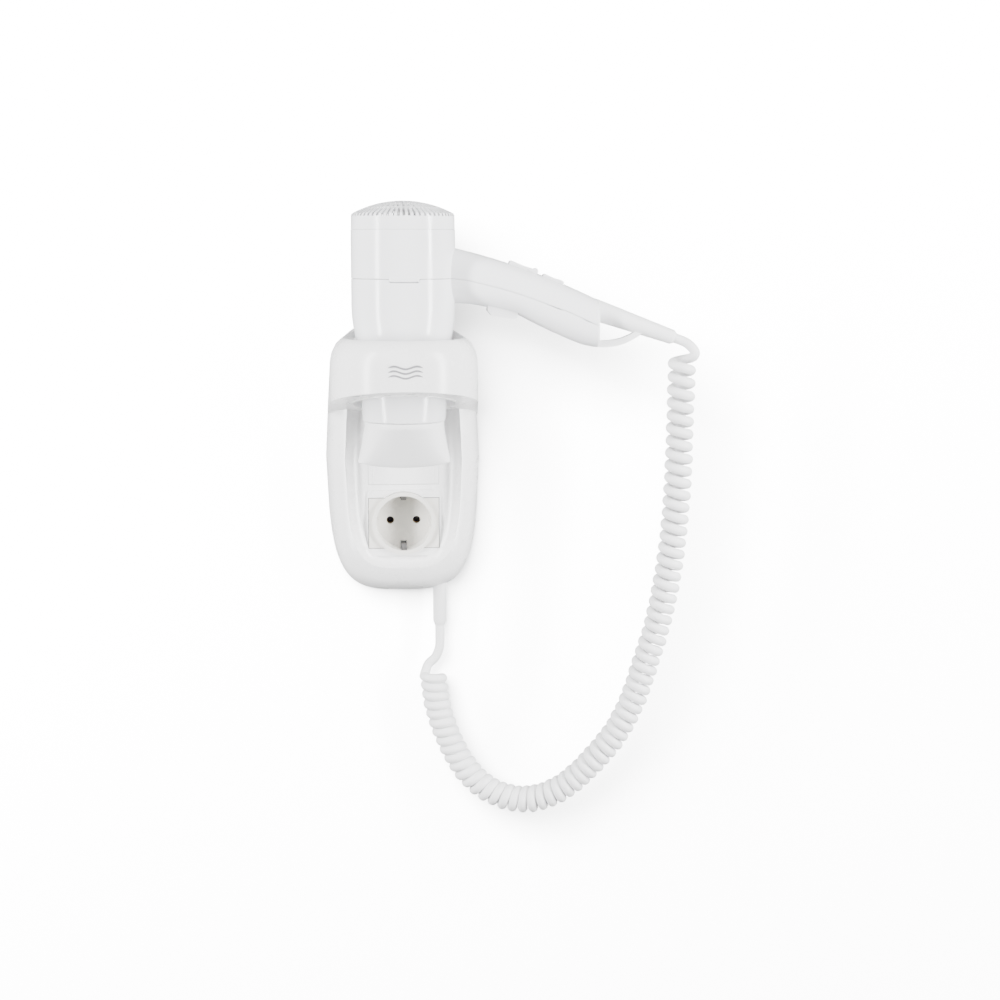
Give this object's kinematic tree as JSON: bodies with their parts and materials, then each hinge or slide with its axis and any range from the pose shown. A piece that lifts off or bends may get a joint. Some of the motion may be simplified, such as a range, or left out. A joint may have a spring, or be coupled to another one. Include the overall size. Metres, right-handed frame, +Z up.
{
  "type": "wall-mounted hair dryer",
  "caption": "Hair dryer with a side handle, hanging in a wall holder that has a built-in earthed socket, joined by a curly cord.",
  "frame": {"origin": "the middle of the holder's flat back face, on the wall", "axes": "+Z is up, -Y points from the wall into the room and +X is to the right as seen from the room; the dryer's handle points to +X"},
  "size_m": [0.259, 0.1136, 0.4417],
  "materials": {
    "white_gloss": "glossy moulded",
    "warm_white": "satin moulded",
    "white_matte": "matte moulded",
    "soft_white": "soft matte",
    "dark_plastic": "matte heat-resistant",
    "steel": "plain",
    "brass": "plain",
    "mica": "layered mica",
    "film_brown": "dipped"
  },
  "bodies": {
    "wall_holder": {"wall_plate": "white_matte", "holder_housing": "white_gloss", "housing_screws": "steel", "cradle_liner": "white_gloss", "blank_cover": "white_gloss", "socket_face": "warm_white", "socket_base": "dark_plastic", "contact_sleeves": "brass", "earth_clip": "steel", "terminal_block": "dark_plastic", "terminal_screws": "steel", "holder_cord_clamp": "white_matte", "holder_clamp_screws": "steel", "holder_relief": "soft_white", "cord_lower": "soft_white", "cord_curl": "soft_white"},
    "dryer": {"rear_housing": "white_gloss", "front_housing": "white_gloss", "fan_duct": "dark_plastic", "motor": "steel", "heater_boards": "mica", "heating_coils": "steel", "mica_sleeve": "mica", "thermal_cutout": "steel", "outlet_grille": "dark_plastic", "trigger_switch": "dark_plastic", "rocker_block": "dark_plastic", "suppressor": "film_brown", "handle_cord_clamp": "dark_plastic", "handle_screws": "steel", "handle_relief": "soft_white", "cord_upper": "soft_white"},
    "cap": {"intake_cap": "white_gloss", "dust_filter": "dark_plastic"},
    "fan": {"fan_wheel": "dark_plastic", "motor_shaft": "steel"},
    "nozzle": {"nozzle": "white_gloss"},
    "trigger": {"trigger": "white_matte"},
    "air_rocker": {"air_rocker": "white_matte"},
    "heat_rocker": {"heat_rocker": "white_matte"}
  },
  "joints": [
    {"name": "dryer_lift", "type": "slide", "parent": "wall_holder", "child": "dryer", "axis": [0, 0, 1], "range_m": [0, 0.2]},
    {"name": "cap_lift", "type": "slide", "parent": "dryer", "child": "cap", "axis": [0, 0, 1], "range_m": [0, 0.03]},
    {"name": "nozzle_turn", "type": "hinge", "parent": "dryer", "child": "nozzle", "pos_m": [0, -0.06254, 0.0315], "axis": [0, 0, 1], "continuous": true},
    {"name": "fan_spin", "type": "hinge", "parent": "dryer", "child": "fan", "pos_m": [0, -0.06254, 0.1288], "axis": [0, 0, 1], "continuous": true},
    {"name": "trigger_press", "type": "slide", "parent": "dryer", "child": "trigger", "axis": [0, 0, 1], "range_m": [0, 0.0025], "stiffness_N_per_m": 600, "springref_m": -0.001},
    {"name": "air_rocker_tilt", "type": "hinge", "parent": "dryer", "child": "air_rocker", "pos_m": [0.07958, -0.06254, 0.1289], "axis": [0, 1, 0], "range_deg": [-5, 5]},
    {"name": "heat_rocker_tilt", "type": "hinge", "parent": "dryer", "child": "heat_rocker", "pos_m": [0.10025, -0.06254, 0.12138], "axis": [0, 1, 0], "range_deg": [-5, 5]}
  ]
}
